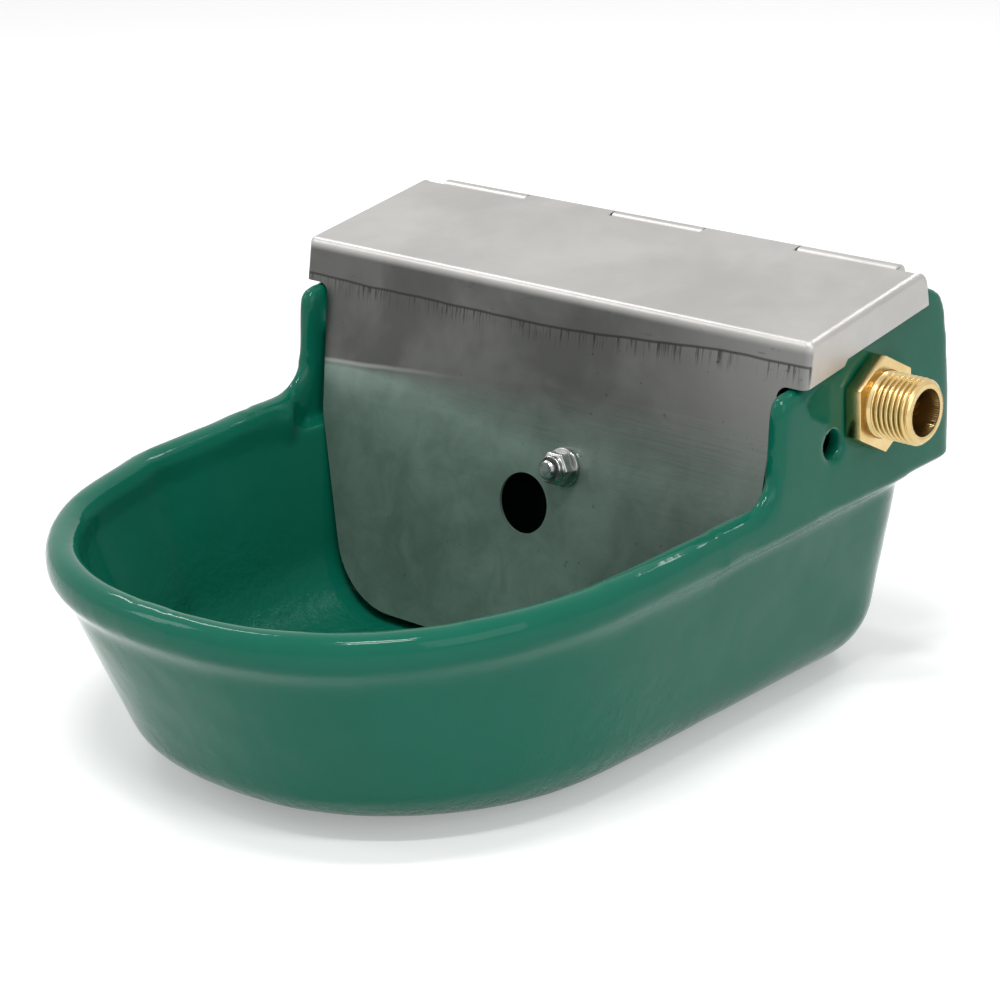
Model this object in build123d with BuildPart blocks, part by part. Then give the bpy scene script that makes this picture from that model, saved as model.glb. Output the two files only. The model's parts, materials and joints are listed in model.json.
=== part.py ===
from build123d import *
from math import cos, pi, radians, sin, tan
import os

# A livestock drinking bowl: an enamelled iron casting with a trough in front and a float
# chamber behind, a hinged stainless cover whose front drops into the trough as a baffle,
# and a brass float valve fed through the right-hand wall.
#
# The bowl stands on its base at Z = 0 with the trough to -Y, the mounting back to +Y and
# the water inlet to +X. The rim rises a little to the back, so most of the bowl is drawn
# in the rim's own coordinates: y runs back from the nose side and is 0 at the back edge,
# z is 0 at the lower edge of the rim bead.

os.makedirs("parts", exist_ok=True)

# ---------------------------------------------------------------- driving dimensions (mm)
BOWL_WIDTH = 206.6  # over the rim at the back edge
BOWL_LENGTH = 258.0  # nose of the rim to the back edge
SIDE_TAPER = 0.75  # degrees by which each side closes towards the nose
NOSE_LENGTH = 116.0  # rounded front, past the straight sides
RIM_POWER = 2.33  # fullness of the nose at the rim, 2 is an ellipse
BASE_POWER = 2.12  # fullness of the nose at the base
NOSE_SPANS = 12  # spans of the curve round the nose
CORNER_RADIUS = 8.0  # upright back corners
BODY_CORNER = 28.0  # the same on the body under the rim
RIM_TILT = 1.7  # degrees by which the rim rises to the back
REAR_DEPTH = 69.5  # base to the lower edge of the rim at the back
BEAD_HEIGHT = 13.0
BEAD_WIDTH = 11.0
BEAD_RADIUS = 5.0  # rolled edges of the rim bead
BEAD_OVERHANG = 3.6  # rim beyond the body
REAR_SETBACK = 7.3  # body short of the mounting back
SIDE_DRAFT = 13.2  # degrees
NOSE_DRAFT = 20.5
BACK_DRAFT = -1.4
BOTTOM_RADIUS = 26.0
BODY_WALL = 4.5  # the same wall at the bottom
FLOOR = 5.0

SIDE_WALL = 7.0  # walls of the float chamber
BACK_WALL = 6.0
BACK_LEAN = 6.8  # degrees by which the back leans forward of the rim's normal
CHAMBER_TOP_Z = 60.8  # top of the walls at the back
CHAMBER_TOP_Y = -18.0
WALL_SEAT_Z = 45.8  # top of the walls under the cover's front corners
WALL_NOSE_Y = -91.5  # front edge of the walls at the seat
WALL_FOOT_Y = -95.5  # and where it runs out into the rim
WALL_BLEND = 14.0
CHAMBER_FRONT_Y = -110.0
CHAMBER_LEAD = 10.0  # length over which the bead narrows beside the baffle
TOP_FRONT_RADIUS = 6.0
TOP_BACK_RADIUS = 12.0

SHEET = 1.0  # stainless sheet of the cover and hinge
COVER_CLEARANCE = 0.3  # cover to casting
COVER_DEPTH = 56.4  # front fold to the cut-back rear edge
COVER_FRONT_Y = -80.3
COVER_FRONT_Z = 60.4
COVER_TILT = 6.9  # degrees, rising to the back of the rim plane
FLANGE_DEPTH = 12.0
LOBE_DEPTH = 14.4
LOBE_LENGTH = 15.0
LOBE_ROUND = 2.0
FLANGE_CORNER = 5.5
FOLD_RADIUS = 2.2
BAFFLE_RAKE = 11.6  # degrees, foot forward of the rim's normal
BAFFLE_WIDTH = 188.6
BAFFLE_TAPER = 2.3  # degrees a side down to the knee
BAFFLE_KNEE = 58.0  # below the fold
BAFFLE_LOWER_TAPER = 15.0
BAFFLE_HEIGHT = 121.0
BAFFLE_CORNER = 27.0
BAFFLE_NOTCH = 3.5  # fillet under the front corners
FINGER_HOLE = 20.0
FINGER_HOLE_DROP = 70.5

HINGE_LENGTH = 190.0
KNUCKLES = 5
KNUCKLE_GAP = 0.4
HINGE_PIN = 4.0
PIN_FIT = 0.05
KNUCKLE_RADIUS = HINGE_PIN / 2 + PIN_FIT + SHEET
LEAF_DROP = 20.0
HINGE_SCREW = 4.0
HINGE_SCREW_SPACING = 70.0
HINGE_SCREW_DROP = 15.0
HINGE_SCREW_GRIP = 7.0
HINGE_SCREW_HEAD = 8.0
HINGE_SCREW_HEAD_HEIGHT = 2.6
HINGE_SCREW_DOME = 20.0  # degrees
RAIL_DEPTH = 21.0
RAIL_SLOPE = 6.0  # run-out under the rail

LATCH_X = 16.0
LATCH_DROP = 55.3  # bolt below the fold
LATCH_BOLT = 6.0
LATCH_BOLT_HEAD = 4.0
LATCH_BOLT_END = 2.0  # thread showing past the nut
M6_ACROSS = 10.0
M6_NUT = 4.4
M6_COLLAR = 1.8
M6_COLLAR_DIAMETER = 8.6
M6_RING_DIAMETER = 7.4
RING_SUNK = 0.3
BOLT_CHAMFER = 0.6
M6_WASHER = 12.5
M6_WASHER_THICKNESS = 1.6
THREAD_FIT = 0.05
BUSH_DIAMETER = 13.0
BUSH_SPIGOT = 9.5
LATCH_THICKNESS = 3.0
LATCH_WIDTH = 12.0
LATCH_TIP = 30.0
LATCH_TAIL = 22.0
LATCH_GAP = 1.0  # behind the cross bar
LATCH_PLAY = 0.2
BAR_DROP = 26.0  # middle of the cross bar below the fold
BAR_HEIGHT = 11.0
BAR_THICKNESS = 8.0
BAR_GAP = 0.5
BAR_ROUND = 2.5

INLET_Y = -46.6
INLET_Z = 32.2
INLET_THREAD = 20.955  # half-inch pipe thread, major diameter
INLET_BORE = 15.0
INLET_STUB = 14.5  # thread standing out of the lock nut
INLET_CHAMFER = 1.2
SHANK_RELIEF = 0.5  # thread runs out behind the nut, and the shank there is thinner
LOCK_NUT_ACROSS = 27.0
LOCK_NUT_THICKNESS = 5.5
LOCK_NUT_TURN = 30.0  # degrees, a corner upward
WALL_HOLE_FIT = 0.3
SPOT_FACE = 34.0
SPOT_DEPTH = 0.5
SEAL_DIAMETER = 31.0
SEAL_THICKNESS = 2.0
FLANGE_ACROSS = 27.0
FLANGE_THICKNESS = 6.0
BARREL_DIAMETER = 22.0
BARREL_LENGTH = 34.0
PLUNGER_DIAMETER = 16.0
PLUNGER_LENGTH = 22.0
PLUNGER_FIT = 0.06
FLOAT_SWING = 12.0  # degrees between float down and float up
SEAT_GAP = 0.3  # seal to nozzle with the float up
NOZZLE_DIAMETER = 12.0
NOZZLE_LENGTH = 7.0
NOZZLE_LIP = 1.6
NOZZLE_LIP_DIAMETER = 8.0
NOZZLE_BORE = 4.0
PLUNGER_SEAL = 11.0
PLUNGER_SEAL_THICKNESS = 3.0
SEAL_PROUD = 0.6
CAP_LENGTH = 9.0
CAP_DIAMETER = 26.0
CAP_CHAMFER = 1.5
CAP_END = 3.0
WEB = 5.0  # body between inlet bore and barrel
SLOT_MARGIN = 1.5
OUTLET_LENGTH = 12.0  # slot past the lever, towards the nozzle
LEVER_THICKNESS = 6.0
LEVER_CLEARANCE = 0.3
LEVER_PIN = 4.0
LEVER_PIN_DROP = 17.0  # below the valve axis
LEVER_NOSE = 6.0
NOSE_FIT = 0.15
SLOT_ROOF = 0.8  # over the lever's nose
EAR_THICKNESS = 4.0
EAR_DIAMETER = 11.0
ARM_DROP = 13.4  # degrees, hanging from level at rest
ARM_DIAMETER = 5.0
ARM_REACH = 97.0  # pivot to the middle of the float
ARM_END = 16.0
FLOAT_LENGTH = 70.0
FLOAT_WIDTH = 42.0
FLOAT_HEIGHT = 30.0
FLOAT_ROUND = 9.0
FLOAT_LUG = 12.0
FLOAT_LUG_LENGTH = 16.0
FLOAT_LUG_RISE = 7.0  # rod above the float
FLOAT_LUG_TOP = 5.5
ARM_HUB = 11.0
LEVER_FINGER = 3.6
ARM_BOSS = 14.0
ARM_BOSS_HEIGHT = 6.0
FLOAT_NUT_ACROSS = 8.0
FLOAT_NUT_THICKNESS = 3.2

WALL_BOLT_HOLE = 10.0
WALL_BOLT_SPACING = 70.0
WALL_BOLT_Z = 34.0
WALL_BOLT_PAD = 22.0
WALL_BOLT_PAD_RISE = 2.0
SIDE_HOLE = 8.0
SIDE_HOLE_Y = -65.7
SIDE_HOLE_Z = 23.6

# ---------------------------------------------------------------- planes the bowl is drawn on
HALF_WIDTH = BOWL_WIDTH / 2
BACK_Y = BOWL_LENGTH / 2
SHOULDER_Y = NOSE_LENGTH - BOWL_LENGTH  # where the straight sides turn into the nose


def level(share):
    """A plane between the rim (share 0) and the level base (share 1)."""
    tilt = radians(RIM_TILT * (1 - share))
    height = REAR_DEPTH * (1 - share)
    return Plane(origin=(0, BACK_Y, height), x_dir=(1, 0, 0), z_dir=(0, -sin(tilt), cos(tilt)))


rim = level(0)


def tilted(y, z, tilt):
    """A plane through (y, z) of the rim's coordinates, rising to the back by tilt more than the rim."""
    slope = radians(RIM_TILT + tilt)
    origin = rim.from_local_coords((0, y, z))
    return Plane(origin=origin, x_dir=(1, 0, 0), z_dir=(0, -sin(slope), cos(slope)))


def side_view(plane, x=0):
    """The side view of a plane: its y runs across the sketch and its z up."""
    return Plane(origin=plane.from_local_coords((x, 0, 0)), x_dir=plane.y_dir, z_dir=(1, 0, 0))


side = side_view(rim)
cover_plane = tilted(COVER_FRONT_Y, COVER_FRONT_Z, COVER_TILT)
cover_side = side_view(cover_plane)
# The baffle's sketch plane looks from the front: x to the right, y up along the sheet.
rake = radians(BAFFLE_RAKE - RIM_TILT)
baffle_plane = Plane(origin=cover_plane.origin, x_dir=(1, 0, 0), z_dir=(0, -cos(rake), sin(rake)))


def side_point(view, across, up):
    """A point of another side view in the coordinates of the rim's side view."""
    point = side.to_local_coords(view.from_local_coords((across, up, 0)))
    return (point.X, point.Y)


# ---------------------------------------------------------------- the bowl's outline in plan
SIDE_SLOPE = tan(radians(SIDE_TAPER))


def bowl_outline(inset, front_inset, back_inset, power, corner):
    """Tapering sides, a full nose and rounded back corners, set in from the rim's own outline."""
    half_back = HALF_WIDTH - inset - back_inset * SIDE_SLOPE
    half_shoulder = HALF_WIDTH - inset + SHOULDER_Y * SIDE_SLOPE
    nose_length = NOSE_LENGTH - front_inset
    nose = []
    for step in range(NOSE_SPANS + 1):
        angle = pi * step / NOSE_SPANS
        across = abs(cos(angle)) ** (2 / power) * half_shoulder
        forward = sin(angle) ** (2 / power) * nose_length if 0 < step < NOSE_SPANS else 0
        nose.append((across if 2 * step <= NOSE_SPANS else -across, SHOULDER_Y - forward))
    with BuildSketch() as outline:
        with BuildLine():
            Polyline(nose[-1], (-half_back, -back_inset), (half_back, -back_inset), nose[0])
            Spline(nose, tangents=((-SIDE_SLOPE, -1), (-SIDE_SLOPE, 1)))
        make_face()
        fillet(outline.vertices().sort_by(Axis.Y)[-2:], corner)
    return outline.sketch


NOSE_DEPTH = REAR_DEPTH - BOWL_LENGTH * tan(radians(RIM_TILT))
MIDDLE_DEPTH = REAR_DEPTH + SHOULDER_Y * tan(radians(RIM_TILT))
SIDE_DRAW = tan(radians(SIDE_DRAFT))
NOSE_DRAW = tan(radians(NOSE_DRAFT))
BACK_DRAW = tan(radians(BACK_DRAFT))


def tub(top_wall, foot_wall, floor):
    """The body below the rim as a solid, or its hollow when walls and a floor are taken off."""
    share = 1 - floor / REAR_DEPTH
    with BuildPart() as form:
        with BuildSketch(level(0)):
            add(bowl_outline(
                BEAD_OVERHANG + top_wall,
                BEAD_OVERHANG + top_wall,
                REAR_SETBACK + top_wall,
                RIM_POWER,
                BODY_CORNER,
            ))
        with BuildSketch(level(share)):
            add(bowl_outline(
                BEAD_OVERHANG + foot_wall + share * MIDDLE_DEPTH * SIDE_DRAW,
                BEAD_OVERHANG + foot_wall + share * NOSE_DEPTH * NOSE_DRAW,
                REAR_SETBACK + foot_wall + share * REAR_DEPTH * BACK_DRAW,
                BASE_POWER,
                BODY_CORNER,
            ))
        loft(ruled=True)
        fillet(form.faces().sort_by(Axis.Z)[0].edges(), BOTTOM_RADIUS)
    return form.part


# ---------------------------------------------------------------- side views of the rim and walls
LEAN = radians(BACK_LEAN)


def back_point(up, inset=0):
    """A point on the leaning back face, or inset in front of it, at a height above the rim edge."""
    return (-inset * cos(LEAN) - up * tan(LEAN), up - inset * sin(LEAN))


TOP_SLOPE = (CHAMBER_TOP_Z - WALL_SEAT_Z) / (CHAMBER_TOP_Y - COVER_FRONT_Y)
TOP_BACK_UP = (CHAMBER_TOP_Z - CHAMBER_TOP_Y * TOP_SLOPE) / (1 + TOP_SLOPE * tan(LEAN))

def rim_height(shape):
    """Height of a shape's middle above the lower edge of the rim."""
    return rim.to_local_coords(shape.center()).Z


# The bead runs round the whole rim with both top edges rolled.
with BuildPart() as bead_form:
    with BuildSketch(rim):
        add(bowl_outline(0, 0, 0, RIM_POWER, CORNER_RADIUS))
        add(
            bowl_outline(BEAD_WIDTH, BEAD_WIDTH, BEAD_WIDTH, RIM_POWER, CORNER_RADIUS / 4),
            mode=Mode.SUBTRACT,
        )
    extrude(amount=BEAD_HEIGHT)
    top_edges = [edge for edge in bead_form.edges() if rim_height(edge) > (BEAD_HEIGHT + BEAD_RADIUS) / 2]
    fillet(top_edges, BEAD_RADIUS)

# The hollow of the float chamber above the rim, with a rail left along the back for the hinge.
hinge_across = COVER_DEPTH + KNUCKLE_GAP + KNUCKLE_RADIUS
leaf_back = hinge_across + KNUCKLE_RADIUS
with BuildPart() as chamber_form:
    with BuildSketch(rim):
        add(bowl_outline(SIDE_WALL, SIDE_WALL, 0, RIM_POWER, CORNER_RADIUS / 4))
    extrude(amount=CHAMBER_TOP_Z + BEAD_HEIGHT)
    with BuildSketch(side):
        with BuildLine():
            Polyline(
                (CHAMBER_FRONT_Y, 0),
                back_point(0, BACK_WALL),
                back_point(CHAMBER_TOP_Z - RAIL_DEPTH - RAIL_SLOPE, BACK_WALL),
                side_point(cover_side, leaf_back, -RAIL_DEPTH),
                side_point(cover_side, leaf_back, BEAD_HEIGHT),
                (CHAMBER_FRONT_Y, CHAMBER_TOP_Z + BEAD_HEIGHT),
                close=True,
            )
        make_face()
    extrude(amount=BOWL_WIDTH, both=True, mode=Mode.INTERSECT)
    # The bead widens again in front of the baffle.
    lead_y = CHAMBER_FRONT_Y + CHAMBER_LEAD
    front_half = HALF_WIDTH + CHAMBER_FRONT_Y * SIDE_SLOPE
    with BuildSketch(rim):
        with BuildLine():
            Polyline(
                (HALF_WIDTH + lead_y * SIDE_SLOPE - SIDE_WALL, lead_y),
                (front_half, CHAMBER_FRONT_Y),
                (front_half - 2 * SIDE_WALL, CHAMBER_FRONT_Y),
                close=True,
            )
        make_face()
        mirror(about=Plane.YZ)
    extrude(amount=BEAD_HEIGHT, mode=Mode.SUBTRACT)

# The front edge of each wall is a round roll that comes down from the cover's seat,
# turns forward and dies into the bead.
ROLL = SIDE_WALL / 2
roll_points = [
    (COVER_FRONT_Y, WALL_SEAT_Z - ROLL),
    (WALL_NOSE_Y + ROLL, WALL_SEAT_Z - ROLL),
    (WALL_FOOT_Y + ROLL, BEAD_HEIGHT - ROLL),
    (CHAMBER_FRONT_Y - 2 * BEAD_WIDTH, BEAD_HEIGHT - ROLL),
]
roll_x = HALF_WIDTH + WALL_FOOT_Y * SIDE_SLOPE - ROLL

# Side walls and mounting back, trimmed to their side view and hollowed.
with BuildPart() as wall_form:
    with BuildSketch(rim):
        add(bowl_outline(0, 0, 0, RIM_POWER, CORNER_RADIUS))
    extrude(amount=CHAMBER_TOP_Z + BEAD_HEIGHT)
    with BuildSketch(side) as wall_view:
        with BuildLine():
            Polyline(
                (roll_points[-1][0], 0),
                back_point(0),
                back_point(TOP_BACK_UP),
                (COVER_FRONT_Y, WALL_SEAT_Z),
                *roll_points,
                close=True,
            )
        make_face()
        fillet(wall_view.vertices().sort_by_distance(roll_points[2])[0], WALL_BLEND + ROLL)
        fillet(wall_view.vertices().sort_by_distance(roll_points[1])[0], TOP_FRONT_RADIUS - ROLL)
        fillet(wall_view.vertices().sort_by_distance(back_point(TOP_BACK_UP))[0], TOP_BACK_RADIUS)
        fillet(wall_view.vertices().sort_by_distance(back_point(0))[0], CORNER_RADIUS)
    extrude(amount=BOWL_WIDTH, both=True, mode=Mode.INTERSECT)
    add(chamber_form.part, mode=Mode.SUBTRACT)
    with BuildSketch(rim):
        add(bowl_outline(SIDE_WALL, SIDE_WALL, -CHAMBER_FRONT_Y, RIM_POWER, CORNER_RADIUS / 4))
    extrude(amount=CHAMBER_TOP_Z, mode=Mode.SUBTRACT)
    with BuildLine(side_view(rim, roll_x)) as roll_path:
        Polyline(*roll_points)
        for corner, radius in ((2, WALL_BLEND + ROLL), (1, TOP_FRONT_RADIUS - ROLL)):
            place = side_view(rim, roll_x).from_local_coords(Vector(*roll_points[corner], 0))
            fillet(roll_path.vertices().sort_by_distance(place)[0], radius)
    with BuildSketch(Plane(origin=roll_path.line @ 0, z_dir=roll_path.line % 0)):
        Circle(ROLL)
    sweep()
    mirror(about=Plane.YZ)

# ---------------------------------------------------------------- places the pieces share
half_cover = HALF_WIDTH + COVER_CLEARANCE + SHEET
cover_fold = radians(COVER_TILT + BAFFLE_RAKE)  # front sheet past square to the top sheet
hinge_place = (hinge_across, -KNUCKLE_RADIUS)
knuckle_pitch = HINGE_LENGTH / KNUCKLES
screw_places = [x * HINGE_SCREW_SPACING for x in (-1, 0, 1)]

bar_front = -SHEET - BAR_GAP
latch_front = bar_front - BAR_THICKNESS - LATCH_GAP
latch_back = latch_front - LATCH_THICKNESS
bush_end = latch_back - LATCH_PLAY
head_start = bush_end - M6_WASHER_THICKNESS
nut_start = M6_WASHER_THICKNESS
collar_start = nut_start + M6_NUT
bolt_start = collar_start + M6_COLLAR + LATCH_BOLT_END

wall_outside = HALF_WIDTH + INLET_Y * SIDE_SLOPE - SPOT_DEPTH
wall_inside = wall_outside - SIDE_WALL
nut_face = wall_outside + LOCK_NUT_THICKNESS
thread_end = nut_face + INLET_STUB
flange_face = wall_inside - SEAL_THICKNESS
barrel_start = flange_face - FLANGE_THICKNESS
barrel_end = barrel_start - BARREL_LENGTH
seat_face = barrel_start + WEB - NOZZLE_LENGTH - NOZZLE_LIP
# The lever swings evenly about upright and carries the plunger between open and shut.
half_swing = radians(FLOAT_SWING / 2)
plunger_travel = LEVER_PIN_DROP * radians(FLOAT_SWING)
seal_front = seat_face - SEAT_GAP - plunger_travel
plunger_front = seal_front - SEAL_PROUD
plunger_middle = plunger_front - PLUNGER_LENGTH / 2
lever_x = plunger_middle + plunger_travel / 2
lever_gap = LEVER_THICKNESS + 2 * LEVER_CLEARANCE


def latch_plane(depth):
    """A plane across the latch bolt at a depth, 0 on the front of the baffle and negative behind it."""
    return Plane(
        origin=baffle_plane.from_local_coords((LATCH_X, -LATCH_DROP, depth)),
        x_dir=(1, 0, 0),
        z_dir=baffle_plane.z_dir,
    )


def along_valve(x):
    """A plane square to the valve's axis at a distance from the bowl's middle, drawn y back and z up."""
    return Plane(origin=rim.from_local_coords((x, INLET_Y, INLET_Z)), x_dir=rim.y_dir, z_dir=(1, 0, 0))


def valve_view(y):
    """The front view of the valve at a distance behind its axis: x to the right and z up."""
    origin = rim.from_local_coords((0, INLET_Y + y, INLET_Z))
    return Plane(origin=origin, x_dir=(1, 0, 0), z_dir=-rim.y_dir)


def back_plane(x, inset):
    """A plane on a wall bolt's axis, looking out of the mounting back."""
    slope = radians(RIM_TILT + BACK_LEAN)
    return Plane(
        origin=rim.from_local_coords((x, *back_point(WALL_BOLT_Z, inset))),
        x_dir=(1, 0, 0),
        z_dir=(0, cos(slope), sin(slope)),
    )


def rail_plane(x, inset):
    """A plane on a hinge screw's axis, looking forward, inset behind the front of the hinge rail."""
    origin = cover_side.from_local_coords((leaf_back + inset, -HINGE_SCREW_DROP, x))
    return Plane(origin=origin, x_dir=(1, 0, 0), z_dir=-cover_plane.y_dir)


wall_bolt_places = (-WALL_BOLT_SPACING / 2, WALL_BOLT_SPACING / 2)

# ---------------------------------------------------------------- the casting
with BuildPart() as bowl_casting:
    add(bead_form.part)
    add(chamber_form.part, mode=Mode.SUBTRACT)
    add(tub(0, 0, 0))
    add(wall_form.part)
    # Cross bar that ties the walls behind the baffle, stops it and holds its latch.
    with BuildSketch(side_view(baffle_plane)):
        with Locations((-BAR_DROP, bar_front - BAR_THICKNESS / 2)):
            RectangleRounded(BAR_HEIGHT, BAR_THICKNESS, BAR_ROUND)
    extrude(amount=HALF_WIDTH - SIDE_WALL / 2, both=True)
    # Pads inside the walls for the valve and the wall bolts.
    with BuildSketch(along_valve(wall_inside)):
        Circle(SPOT_FACE / 2)
    extrude(amount=SIDE_WALL - SPOT_DEPTH)
    for x in wall_bolt_places:
        with BuildSketch(back_plane(x, BACK_WALL + WALL_BOLT_PAD_RISE)):
            Circle(WALL_BOLT_PAD / 2)
        extrude(amount=BACK_WALL)
    add(tub(BEAD_WIDTH - BEAD_OVERHANG, BODY_WALL, FLOOR), mode=Mode.SUBTRACT)
    split(bisect_by=Plane.XY, keep=Keep.TOP)
    # Spot face and hole for the inlet.
    with BuildSketch(along_valve(wall_outside)):
        Circle(SPOT_FACE / 2)
    extrude(amount=SIDE_WALL, mode=Mode.SUBTRACT)
    with BuildSketch(along_valve(wall_inside - SIDE_WALL)):
        Circle(INLET_THREAD / 2 + WALL_HOLE_FIT)
    extrude(amount=3 * SIDE_WALL, mode=Mode.SUBTRACT)
    # Plain hole beside the inlet.
    with BuildSketch(side_view(rim, HALF_WIDTH - 2 * SIDE_WALL)):
        with Locations((SIDE_HOLE_Y, SIDE_HOLE_Z)):
            Circle(SIDE_HOLE / 2)
    extrude(amount=3 * SIDE_WALL, mode=Mode.SUBTRACT)
    for x in wall_bolt_places:
        with BuildSketch(back_plane(x, 2 * BACK_WALL)):
            Circle(WALL_BOLT_HOLE / 2)
        extrude(amount=3 * BACK_WALL, mode=Mode.SUBTRACT)
    for x in screw_places:
        with BuildSketch(rail_plane(x, HINGE_SCREW_GRIP + THREAD_FIT)):
            Circle(HINGE_SCREW / 2 + THREAD_FIT)
        extrude(amount=RAIL_DEPTH, mode=Mode.SUBTRACT)
bowl_casting.part.label = "bowl_casting"
export_step(bowl_casting.part, "parts/bowl_casting.step")


# ---------------------------------------------------------------- cover
def cover_front(down, inset=0):
    """A point of the front sheet in the cover's side view, at a distance below the fold."""
    across = inset / tan((pi / 2 + cover_fold) / 2)
    return (across - down * sin(cover_fold), -inset - down * cos(cover_fold))


def is_side_fold(edge):
    """Whether an edge is one of the folds between the top or front sheet and a side flange."""
    place = cover_plane.to_local_coords(edge.center())
    near_top = place.Z > -LOBE_DEPTH / 2 and place.Y < flange_end
    on_front = place.Y < 0 and place.Z > -2 * LOBE_DEPTH * cos(cover_fold)
    return abs(edge.tangent_at(0.5).X) < 0.5 and (near_top or on_front)


flange_end = COVER_DEPTH + FLANGE_CORNER
with BuildPart() as hood_inside:
    with BuildSketch(cover_side) as inside_view:
        with BuildLine():
            Polyline(
                (flange_end + FLANGE_DEPTH, -SHEET),
                cover_front(0, SHEET),
                cover_front(2 * LOBE_DEPTH, SHEET),
                (flange_end + FLANGE_DEPTH, -2 * LOBE_DEPTH),
                close=True,
            )
        make_face()
        fillet(inside_view.vertices().sort_by_distance((0, 0))[0], FOLD_RADIUS - SHEET)
    extrude(amount=half_cover - SHEET, both=True)
    fillet([edge for edge in hood_inside.edges() if is_side_fold(edge)], FOLD_RADIUS - SHEET)

with BuildPart() as cover:
    with BuildSketch(cover_side) as hood_view:
        with BuildLine():
            Polyline(
                (0, 0),
                cover_front(LOBE_DEPTH),
                (LOBE_LENGTH, cover_front(LOBE_DEPTH)[1]),
                (LOBE_LENGTH + LOBE_ROUND, -FLANGE_DEPTH),
                (flange_end, -FLANGE_DEPTH),
                (flange_end, 0),
                close=True,
            )
        make_face()
        fillet(hood_view.vertices().sort_by_distance((0, 0))[0], FOLD_RADIUS)
        fillet(hood_view.vertices().sort_by_distance((flange_end, 0))[0], FLANGE_CORNER)
    extrude(amount=half_cover, both=True)
    fillet([edge for edge in cover.edges() if is_side_fold(edge)], FOLD_RADIUS)
    add(hood_inside.part, mode=Mode.SUBTRACT)
    # The top stops short of the flanges' rear ends, at the hinge.
    with BuildSketch(cover_side):
        with Locations((COVER_DEPTH, 0)):
            Rectangle(FLANGE_DEPTH, LOBE_DEPTH, align=(Align.MIN, Align.CENTER))
    extrude(amount=half_cover - SHEET, both=True, mode=Mode.SUBTRACT)
    # Baffle with its notches, rounded foot, finger hole and bolt hole.
    with BuildSketch(baffle_plane) as baffle:
        knee = BAFFLE_WIDTH / 2 - BAFFLE_KNEE * tan(radians(BAFFLE_TAPER))
        foot = knee - (BAFFLE_HEIGHT - BAFFLE_KNEE) * tan(radians(BAFFLE_LOWER_TAPER))
        with BuildLine():
            Polyline(
                (-half_cover + FOLD_RADIUS, -FOLD_RADIUS),
                (-half_cover + FOLD_RADIUS, -LOBE_DEPTH),
                (-BAFFLE_WIDTH / 2, -LOBE_DEPTH),
                (-knee, -BAFFLE_KNEE),
                (-foot, -BAFFLE_HEIGHT),
                (foot, -BAFFLE_HEIGHT),
                (knee, -BAFFLE_KNEE),
                (BAFFLE_WIDTH / 2, -LOBE_DEPTH),
                (half_cover - FOLD_RADIUS, -LOBE_DEPTH),
                (half_cover - FOLD_RADIUS, -FOLD_RADIUS),
                close=True,
            )
        make_face()
        for x in (-1, 1):
            for place, radius in (
                ((x * BAFFLE_WIDTH / 2, -LOBE_DEPTH), BAFFLE_NOTCH),
                ((x * knee, -BAFFLE_KNEE), BAFFLE_CORNER),
                ((x * foot, -BAFFLE_HEIGHT), BAFFLE_CORNER),
            ):
                fillet(baffle.vertices().sort_by_distance(place)[0], radius)
        with Locations((0, -FINGER_HOLE_DROP)):
            Circle(FINGER_HOLE / 2, mode=Mode.SUBTRACT)
        with Locations((LATCH_X, -LATCH_DROP)):
            Circle(LATCH_BOLT / 2 + THREAD_FIT, mode=Mode.SUBTRACT)
    extrude(amount=-SHEET)
    # Rolled knuckles on the rear edge, between those of the fixed leaf.
    for turn in (1, 3):
        middle = (turn - (KNUCKLES - 1) / 2) * knuckle_pitch
        with BuildSketch(side_view(cover_plane, middle)):
            with Locations(hinge_place):
                Circle(KNUCKLE_RADIUS)
            with Locations((COVER_DEPTH - SHEET, -SHEET)):
                Rectangle(hinge_across - COVER_DEPTH + SHEET, SHEET, align=Align.MIN)
            with Locations(hinge_place):
                Circle(HINGE_PIN / 2 + PIN_FIT, mode=Mode.SUBTRACT)
        extrude(amount=(knuckle_pitch - KNUCKLE_GAP) / 2, both=True)
cover.part.label = "cover"
export_step(cover.part, "parts/cover.step")

# ---------------------------------------------------------------- hinge
leaf_front = leaf_back - SHEET
leaf_top = -2 * KNUCKLE_RADIUS - KNUCKLE_GAP
with BuildPart() as hinge_leaf:
    with BuildSketch(cover_side):
        with Locations((leaf_front, -LEAF_DROP)):
            Rectangle(SHEET, LEAF_DROP + leaf_top, align=Align.MIN)
    extrude(amount=HINGE_LENGTH / 2, both=True)
    for turn in (0, 2, 4):
        middle = (turn - (KNUCKLES - 1) / 2) * knuckle_pitch
        with BuildSketch(side_view(cover_plane, middle)):
            with Locations(hinge_place):
                Circle(KNUCKLE_RADIUS)
            with Locations((leaf_front, -LEAF_DROP)):
                Rectangle(SHEET, LEAF_DROP - KNUCKLE_RADIUS, align=Align.MIN)
            with Locations(hinge_place):
                Circle(HINGE_PIN / 2 + PIN_FIT, mode=Mode.SUBTRACT)
        extrude(amount=(knuckle_pitch - KNUCKLE_GAP) / 2, both=True)
    for x in screw_places:
        with BuildSketch(rail_plane(x, 0)):
            Circle(HINGE_SCREW / 2 + THREAD_FIT)
        extrude(amount=2 * SHEET, mode=Mode.SUBTRACT)
hinge_leaf.part.label = "hinge_leaf"
export_step(hinge_leaf.part, "parts/hinge_leaf.step")

with BuildPart() as hinge_pin:
    with BuildSketch(cover_side):
        with Locations(hinge_place):
            Circle(HINGE_PIN / 2)
    extrude(amount=HINGE_LENGTH / 2, both=True)
hinge_pin.part.label = "hinge_pin"
export_step(hinge_pin.part, "parts/hinge_pin.step")

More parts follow.
